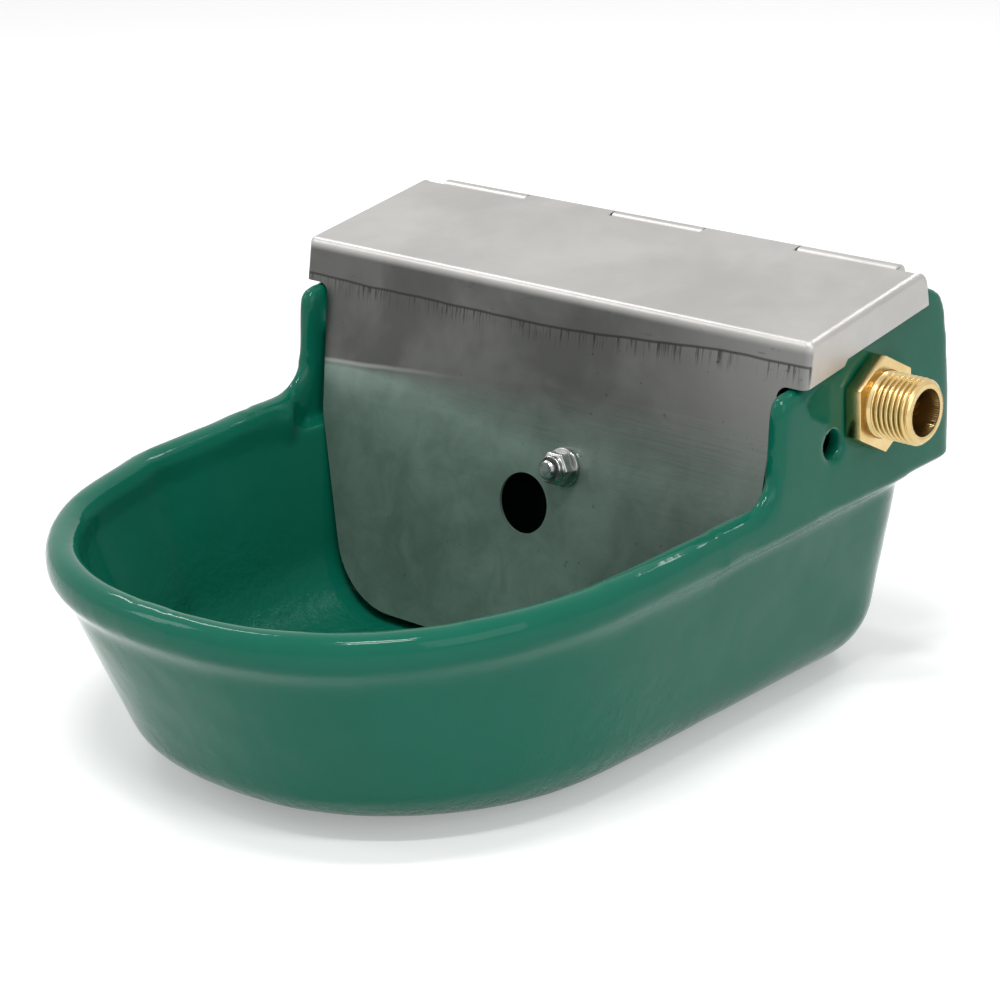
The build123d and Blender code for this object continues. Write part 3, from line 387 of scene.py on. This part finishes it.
# %% Zinc
zinc = Finish("bright_zinc", Metallic=1.0, Roughness=0.2)
dull = zinc.clouds(zinc.place()[0], 260.0, 4.0, 0.6)
zinc.feed(
    Base_Color=zinc.blend(dull.between(0.35, 0.65), (0.36, 0.36, 0.36), (0.52, 0.52, 0.51)),
    Roughness=0.14 + 0.2 * dull,
    Normal=zinc.bump(dull, 0.08 * MM, 0.4),
)
print("zinc", len(zinc.tree.nodes), "nodes")

# %% [markdown]
# ## Rubber, nylon and float plastic
# The washer and the plunger's seal are black rubber, the lock nut holds a nylon ring, and
# the float is a blown plastic shell. The nylon's dark grey is partly painted shade, for the
# shade in the gap round the bolt's end. The float's near-black is painted shade, for the
# dark chamber seen through the finger hole. All three are plain moulded surfaces that differ
# only in tone, gloss and grain, so one recipe with different values makes them.

# %% Moulded finishes
def plain_finish(name, dark, light, roughness, scale, depth):
    """A moulded or rubbery finish: two close colours in clouds and a fine grain."""
    finish = Finish(name, Roughness=roughness)
    spot = finish.place()[0]
    shade = finish.clouds(spot, scale)
    fine = finish.clouds(spot, scale * 12, 2.0)
    return finish.feed(
        Base_Color=finish.blend(shade, dark, light),
        Roughness=roughness - 0.06 + 0.12 * shade,
        Normal=finish.bump(fine, depth, 0.4),
    )


rubber = plain_finish(
    "black_rubber", (0.012, 0.012, 0.012), (0.03, 0.03, 0.03), 0.6, 90.0, 0.06 * MM
)
# The nylon is made dark grey partly as painted shade in the gap round the bolt's end.
nylon = plain_finish(
    "nylon", (0.045, 0.048, 0.052), (0.07, 0.073, 0.078), 0.45, 120.0, 0.03 * MM
)
# The float is near-black as painted shade: it stands for the dark chamber seen through the finger
# hole.
float_in_painted_shade = plain_finish(
    "float_plastic", (0.016, 0.016, 0.017), (0.026, 0.026, 0.027), 0.38, 40.0, 0.06 * MM
)
print("moulded", [finish.name for finish in (rubber, nylon, float_in_painted_shade)])

# %% [markdown]
# ## Dressing the CAD pieces
# Most of the small pieces are right as the CAD has them, so they only need a finish. A CAD
# node may have one material slot, several or none, and each case has to end with the same
# finish on every face.

# %% Finishes on the CAD pieces
def dress(names, material):
    """Gives CAD nodes a finish in every material slot."""
    for name in names:
        piece = nodes[name]
        for slot in piece.material_slots:
            slot.material = material
        if not piece.material_slots:
            piece.data.materials.append(material)


dress(["cover", "hinge_leaf", "cover_latch"], sheet.material)
dress(["hinge_pin", "hinge_screws", "lever_pin", "latch_bush", "rear_washer"], zinc.material)
dress(["latch_bolt"], zinc.material)
dress(["valve_nozzle", "valve_cap", "float_arm", "float_nuts", "plunger", "lock_nut"], brass.material)
dress(["inlet_washer", "plunger_seal"], rubber)
dress(["latch_nut_ring"], nylon)
dress(["float"], float_in_painted_shade)
print("finishes", len(bpy.data.materials))

# %% [markdown]
# ## Pieces that stand for CAD pieces
# A few pieces need a shape that the CAD leaves plain: the casting's soft skin, the thread and
# the rolled nuts. Each is a mesh that rides on a body and hides the CAD node it stands for,
# where there is one. Modifiers do some of the shaping, and they are applied at once, so that
# the piece holds the final mesh.

# %% Helpers for pieces
def link(name, mesh, body, material, replaced=()):
    """Puts a mesh in the scene as a piece that rides on a body."""
    piece = bpy.data.objects.new(name, mesh)
    bpy.context.scene.collection.objects.link(piece)
    mesh.materials.clear()
    mesh.materials.append(material)
    for face in mesh.polygons:
        face.material_index = 0
    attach(piece, body)
    if replaced:
        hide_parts(*replaced)
    return piece


def baked(piece):
    """Applies a piece's modifiers by taking its evaluated mesh."""
    bpy.context.view_layer.update()
    evaluated = piece.evaluated_get(bpy.context.evaluated_depsgraph_get())
    mesh = bpy.data.meshes.new_from_object(evaluated)
    piece.modifiers.clear()
    piece.data = mesh
    return mesh


# %% [markdown]
# ## The casting's back corners
# The float chamber is square at the back and the tub under it is round, so iron has to close
# each corner at the height of the rim. The CAD solid leaves a small triangular gap there,
# which is a fault of the solid, and the skin closes it with a web. The web is a thin
# triangular prism. It is laid on the rim, which rises a little to the back, and the next
# step melts it into the casting.

# %% Webs
RIM_RISE = math.radians(1.7)
RIM_BACK = Vector((0, 129 * MM, 69.5 * MM))
RIM_UP = Vector((0, -math.sin(RIM_RISE), math.cos(RIM_RISE)))
WEB_PLAN = ((98, 124), (98, 98), (72, 124))
WEB_LIFTS = (0.5, 4.0)

skin_mesh = nodes["bowl_casting"].data.copy()
work = bmesh.new()
work.from_mesh(skin_mesh)
for sign in (-1, 1):
    lower, upper = [
        [
            work.verts.new(Vector((sign * across * MM, along * MM, RIM_BACK.z)) + RIM_UP * lift * MM)
            for across, along in WEB_PLAN
        ]
        for lift in WEB_LIFTS
    ]
    sides = [work.faces.new(lower), work.faces.new(upper)]
    for first in range(3):
        second = (first + 1) % 3
        sides.append(work.faces.new((lower[first], lower[second], upper[second], upper[first])))
    bmesh.ops.recalc_face_normals(work, faces=sides)
work.to_mesh(skin_mesh)
work.free()
print("casting with webs", len(skin_mesh.polygons), "faces")

# %% [markdown]
# ## The casting's skin
# Cast iron has no sharp edge, and enamel rounds what is left. Bevels on a solid with so many
# meeting walls would fail somewhere. A voxel remesh turns it into an even skin of small
# squares instead, a few rounds of smoothing melt the edges, and a slow noise gives the walls
# the waviness of a sand casting. The noise only moves the skin inwards, so that it stays
# inside the solid's own box, and the foot that the bowl stands on stays flat.

# %% Cast skin
VOXEL = 1.25 * MM
FOOT_HEIGHT = 1.5 * MM
SLOW_WAVE, QUICK_WAVE = 38.0, 105.0
SLOW_DEPTH, QUICK_DEPTH = 0.28 * MM, 0.10 * MM
SLOW_BIAS, QUICK_BIAS = 0.7, 0.6
ELSEWHERE = Vector((5.0, 2.0, 1.0))
MELT_ROUNDS = 12

skin = link("enamelled_casting", skin_mesh, "bowl", enamel.material, ["bowl_casting"])
remesh = skin.modifiers.new("even_skin", "REMESH")
remesh.mode = "VOXEL"
remesh.voxel_size = VOXEL
skin_mesh = baked(skin)
normals = [vertex.normal.copy() for vertex in skin_mesh.vertices]
for vertex, normal in zip(skin_mesh.vertices, normals):
    slow = noise.noise(vertex.co * SLOW_WAVE)
    quick = noise.noise(vertex.co * QUICK_WAVE + ELSEWHERE)
    if vertex.co.z > FOOT_HEIGHT:
        depth = SLOW_DEPTH * (slow + SLOW_BIAS) + QUICK_DEPTH * (quick + QUICK_BIAS)
        vertex.co -= normal * depth
soften = skin.modifiers.new("melted_edges", "SMOOTH")
soften.factor = 0.5
soften.iterations = MELT_ROUNDS
skin_mesh = baked(skin)
print("casting skin", len(skin_mesh.vertices), "points")

# %% [markdown]
# ## Where the enamel pools
# Enamel runs before it sets, and it fills the places where a solid has a step or a crease:
# the blunt end of the bead beside the cover, and the crease under the bead. More smoothing
# everywhere would shrink the rim, so only the points in those places are smoothed, and the
# bead itself gets some rounds so that its gloss runs in one unbroken line.

# %% Melted corners, crease and bead
CORNER_CENTRE, CORNER_REACH = (94 * MM, 20 * MM, 82 * MM), 17 * MM
CORNER_ROUNDS, CREASE_ROUNDS, BEAD_ROUNDS = 30, 16, 26
CREASE_BAND = -6 * MM, 2.2 * MM
BEAD_BAND = -7 * MM, 30 * MM
BEAD_END = 10 * MM
OUTSIDE_FROM = 70 * MM
OUTWARD = -0.02


def above_rim(vertex):
    """The height of a point over the rim's lower edge."""
    return (vertex.co - RIM_BACK).dot(RIM_UP)


def faces_out(vertex):
    """True where the skin looks away from the trough's middle."""
    middle = Vector((0, 20 * MM))
    return vertex.normal.to_2d().dot(vertex.co.to_2d() - middle) > OUTWARD


def near_corner(vertex):
    """True near the bead's blunt end on either side."""
    across, along, height = CORNER_CENTRE
    centre = Vector((math.copysign(across, vertex.co.x), along, height))
    return (vertex.co - centre).length < CORNER_REACH


work = bmesh.new()
work.from_mesh(skin_mesh)
corners = [
    vertex for vertex in work.verts
    if abs(vertex.co.x) > 78 * MM and 4 * MM < vertex.co.y < 36 * MM and vertex.co.z > 66 * MM
    and near_corner(vertex)
]
outside = [vertex for vertex in work.verts if vertex.co.to_2d().length > OUTSIDE_FROM]
crease = [
    vertex for vertex in outside
    if CREASE_BAND[0] < above_rim(vertex) < CREASE_BAND[1] and faces_out(vertex)
]
bead = [
    vertex for vertex in outside
    if BEAD_BAND[0] < above_rim(vertex) < BEAD_BAND[1] and vertex.co.y < BEAD_END
    and (vertex.normal.z > 0.1 or faces_out(vertex))
]
for group, rounds in ((corners, CORNER_ROUNDS), (crease, CREASE_ROUNDS), (bead, BEAD_ROUNDS)):
    for _ in range(rounds):
        bmesh.ops.smooth_vert(
            work, verts=group, factor=0.5, use_axis_x=True, use_axis_y=True, use_axis_z=True
        )
work.to_mesh(skin_mesh)
work.free()
skin_mesh.shade_smooth()
print("melted corners", len(corners), "crease", len(crease), "bead", len(bead))

# %% [markdown]
# ## A thread
# The inlet's stub is a plain cylinder over the thread's crests, as a lathe leaves it before
# the thread is cut. A screw modifier could wind a tooth round it, but its ends would need
# work by hand. A sleeve is simpler: a grid of points round the axis, where each point's
# distance from the axis is a saw-tooth of its place along the helix. The same function runs
# the thread out at the nut and turns the chamfer at the open end.

# %% Thread helper
AROUND = 96
STEPS_PER_TURN = 14
LIP = 0.35 * MM
BORE_DEPTH = 6 * MM
FLANK_STEEPNESS, ROOT_FLAT = 2.2, 0.05


def threaded_sleeve(name, origin, along, length, crest, root, pitch, bore, chamfer):
    """A sleeve with an outside thread, open at its back and closed by a flat ring in front."""
    along = Vector(along).normalized()
    side = along.orthogonal().normalized()
    up = along.cross(side)
    steps = int(length / pitch * STEPS_PER_TURN)
    made = bmesh.new()

    def ring(distance, radius_at):
        points = []
        for step in range(AROUND):
            angle = 2 * math.pi * step / AROUND
            out = side * math.cos(angle) + up * math.sin(angle)
            points.append(made.verts.new(Vector(origin) + along * distance + out * radius_at(angle)))
        return points

    def tooth(distance):
        def radius_at(angle):
            phase = (distance / pitch - angle / (2 * math.pi)) % 1.0
            share = min(1.0, max(0.0, FLANK_STEEPNESS * (0.5 - abs(phase - 0.5)) - ROOT_FLAT))
            share = share * share * (3 - 2 * share)
            run_out = 1 - min(1.0, distance / pitch)
            limit = crest - max(0.0, distance - (length - chamfer))
            return min(root + (crest - root) * max(share, run_out), limit)
        return radius_at

    rings = [ring(length * step / steps, tooth(length * step / steps)) for step in range(steps + 1)]
    rings.append(ring(length, lambda angle: bore + LIP))
    rings.append(ring(length - LIP, lambda angle: bore))
    rings.append(ring(length - BORE_DEPTH, lambda angle: bore))
    for first, second in zip(rings, rings[1:]):
        for step in range(AROUND):
            after = (step + 1) % AROUND
            made.faces.new((first[step], first[after], second[after], second[step]))
    mesh = bpy.data.meshes.new(name)
    made.to_mesh(mesh)
    made.free()
    mesh.shade_smooth()
    return mesh


print("points per turn", AROUND * STEPS_PER_TURN)

# %% [markdown]
# ## The inlet's thread
# The inlet takes a half-inch pipe, with 14 turns to the inch. Its place and its radius come
# from the CAD, so the thread stays on the stub if the stub moves. The sleeve starts at the
# outer face of the lock nut, where the real thread comes into view.

# %% Inlet thread
INCH = 25.4 * MM
TURNS_PER_INCH = 14
THREAD_DEPTH = 1.162 * MM
BORE_RADIUS = 7.5 * MM
END_CHAMFER = 1.2 * MM

inlet = next(mount for mount in frame["record"]["mounts"] if mount["name"] == "inlet")
crest = inlet["dims"]["r_mm"] * MM
root = crest - THREAD_DEPTH
pitch = INCH / TURNS_PER_INCH
nut_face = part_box("lock_nut")[1].x
stub_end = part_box("valve_body")[1].x
sleeve = threaded_sleeve(
    "inlet_thread", (nut_face, AXIS_Y, AXIS_Z), (1, 0, 0), stub_end - nut_face,
    crest, root, pitch, BORE_RADIUS, END_CHAMFER,
)
link("inlet_thread", sleeve, "bowl", brass.material)
print("thread turns", round((stub_end - nut_face) / pitch, 1))

# %% [markdown]
# ## The valve body under the thread
# The plain stub would show through the thread's valleys. So the valve body is copied, cut in
# two just inside the nut, and its outer end is drawn in below the thread's root. The rest of
# the body, with its hexagon and its ears, stays as the CAD has it.

# %% Turned valve body
TUCK = 1.0 * MM
UNDER_ROOT = 0.3 * MM
SHORT_OF_END = 0.2 * MM
OUTER_SKIN = 8.5 * MM

body_mesh = nodes["valve_body"].data.copy()
work = bmesh.new()
work.from_mesh(body_mesh)
cut_at = nut_face - TUCK
bmesh.ops.bisect_plane(
    work, geom=work.verts[:] + work.edges[:] + work.faces[:],
    plane_co=(cut_at, 0, 0), plane_no=(1, 0, 0), dist=1e-6,
)
for vertex in work.verts:
    offset = Vector((0, vertex.co.y - AXIS_Y, vertex.co.z - AXIS_Z))
    if vertex.co.x > cut_at + TUCK / 2 and offset.length > OUTER_SKIN:
        narrowed = offset.normalized() * (root - UNDER_ROOT)
        outer_x = min(vertex.co.x, stub_end - SHORT_OF_END)
        vertex.co = Vector((outer_x, AXIS_Y + narrowed.y, AXIS_Z + narrowed.z))
work.to_mesh(body_mesh)
work.free()
link("valve_body_turned", body_mesh, "bowl", brass.material, ["valve_body"])
print("valve body", len(body_mesh.polygons), "faces")

# %% [markdown]
# ## Nuts and washer
# A nut has its corners rolled off, and a stamped washer has soft edges. Both catch a thin
# line of light that a knife edge never does. A bevel on a copy of the CAD solid gives it.
# The copy's doubled points are joined first, because a bevel needs to know which faces meet.

# %% Bevelled fasteners
JOIN_WITHIN = 1e-6
SHARP_ANGLE = math.radians(28)


def bevelled(node, width, material, body):
    """A copy of a CAD node with its edges rounded, which stands for the node."""
    mesh = nodes[node].data.copy()
    work = bmesh.new()
    work.from_mesh(mesh)
    bmesh.ops.remove_doubles(work, verts=work.verts, dist=JOIN_WITHIN)
    work.to_mesh(mesh)
    work.free()
    piece = link(node + "_finished", mesh, body, material, [node])
    round_off = piece.modifiers.new("rounded", "BEVEL")
    round_off.width = width
    round_off.segments = 3
    round_off.limit_method = "ANGLE"
    round_off.angle_limit = SHARP_ANGLE
    baked(piece).shade_smooth()
    return piece


fasteners = [
    bevelled("latch_nut", 0.45 * MM, zinc.material, "cover"),
    bevelled("front_washer", 0.25 * MM, zinc.material, "cover"),
    bevelled("lock_nut", 0.30 * MM, brass.material, "bowl"),
]
print("fasteners", {piece.name: len(piece.data.polygons) for piece in fasteners})

# %% [markdown]
# ## Floor
# The bowl stands on white paper, as in a product studio. More light on white paper would
# bleach the bowl too. So the paper is a light grey that glows a little, but only for the
# camera and for reflections, and it still takes the bowl's soft shadow.

# %% Floor
FLOOR_HALF = 6.0
FLOOR_GLOW = 0.30

floor_mesh = bpy.data.meshes.new("floor")
rim = [(-1, -1), (1, -1), (1, 1), (-1, 1)]
floor_mesh.from_pydata([(FLOOR_HALF * a, FLOOR_HALF * b, 0) for a, b in rim], [], [(0, 1, 2, 3)])
floor = bpy.data.objects.new("floor", floor_mesh)
bpy.context.scene.collection.objects.link(floor)

paper = Finish(
    "white_floor", Roughness=0.9, Emission_Color=(1.0, 1.0, 1.0), Emission_Strength=0.0
)
shade = paper.clouds(paper.place()[0], 3.0)
paper.feed(Base_Color=paper.blend(shade, (0.80, 0.80, 0.80), (0.82, 0.82, 0.82)))
glow = paper.node("ShaderNodeEmission", sockets={"Strength": paper.seen() * FLOOR_GLOW})
lit = Wire(paper, paper.shader.outputs[0])
both = paper.node("ShaderNodeAddShader", sockets={0: lit, 1: glow})
paper.fill(paper.tree.nodes["Material Output"].inputs[0], both)
floor_mesh.materials.append(paper.material)
print("floor", 2 * FLOOR_HALF, "m wide")

# %% [markdown]
# ## Surround
# A white room all round gives the metal something to reflect and fills the shadows. What the
# camera and the reflections see is plain white, and what lights the bowl is weaker, so that
# a colour comes out about as it is written.

# %% Surround
FILL_LIGHT = 0.55

world = bpy.data.worlds.new("surround")
bpy.context.scene.world = world
world.use_nodes = True
surround = Tree(world.node_tree)
background = world.node_tree.nodes["Background"]
surround.fill(background.inputs["Color"], (1.0, 1.0, 1.0))
surround.fill(background.inputs["Strength"], surround.seen() * (1 - FILL_LIGHT) + FILL_LIGHT)
print("surround lights at", FILL_LIGHT)

# %% [markdown]
# ## Lamps
# Gloss shows the shape of a lamp, so the lamps are chosen for their reflections as much as
# for their light. Long, narrow boxes overhead draw lines of light along the bead, and a big
# soft box at the right lifts the brass. None of them stands where the cover would mirror it
# into the camera.

# %% Lamps
def softbox(name, place, target, size, watts):
    """A rectangular lamp that faces a target."""
    data = bpy.data.lights.new(name, "AREA")
    data.shape = "RECTANGLE"
    data.size, data.size_y = size
    data.energy = watts
    lamp = bpy.data.objects.new(name, data)
    bpy.context.scene.collection.objects.link(lamp)
    lamp.location = place
    lamp.rotation_euler = (Vector(target) - Vector(place)).to_track_quat("-Z", "Y").to_euler()
    return lamp


LAMPS = (
    ("back_strip", (0.13, 0.90, 0.98), (0, 0, 0.08), (0.55, 0.10), 2.0),
    ("overhead_near", (0.38, -0.52, 1.24), (0, -0.1, 0.08), (0.42, 0.05), 5.0),
    ("overhead_far", (0.20, -0.32, 1.32), (0, -0.1, 0.08), (0.42, 0.05), 5.0),
    ("left_strip", (-0.82, 0.10, 1.05), (0, 0, 0.08), (0.10, 0.50), 2.4),
    ("front_left", (-1.0, -0.9, 0.9), (0, 0, 0.05), (0.3, 0.6), 2.5),
    ("right_fill", (1.2, -0.3, 0.6), (0, 0, 0.05), (0.8, 0.8), 3.0),
)
lamps = [softbox(*settings) for settings in LAMPS]
print("lamps", len(lamps), "watts", round(sum(lamp.data.energy for lamp in lamps), 1))

# %% [markdown]
# ## Camera
# The camera looks down at about 20 degrees over the bowl's right front corner. A long lens
# from nearly a metre away keeps the perspective mild, and a tiny shift sets the frame
# without tilting the view.

# %% Camera
lens = bpy.data.cameras.new("camera")
lens.lens = 104.56
lens.shift_x, lens.shift_y = -0.01015, 0.00248
camera = bpy.data.objects.new("camera", lens)
bpy.context.scene.collection.objects.link(camera)
camera.location = (0.58392, -0.61911, 0.38073)
camera.rotation_euler = [math.radians(angle) for angle in (69.8016, 1.6520, 41.4257)]
bpy.context.scene.camera = camera
bpy.context.scene.view_settings.view_transform = "Standard"
print("camera", round(camera.location.length, 3), "m from the frame's origin")

# %% [markdown]
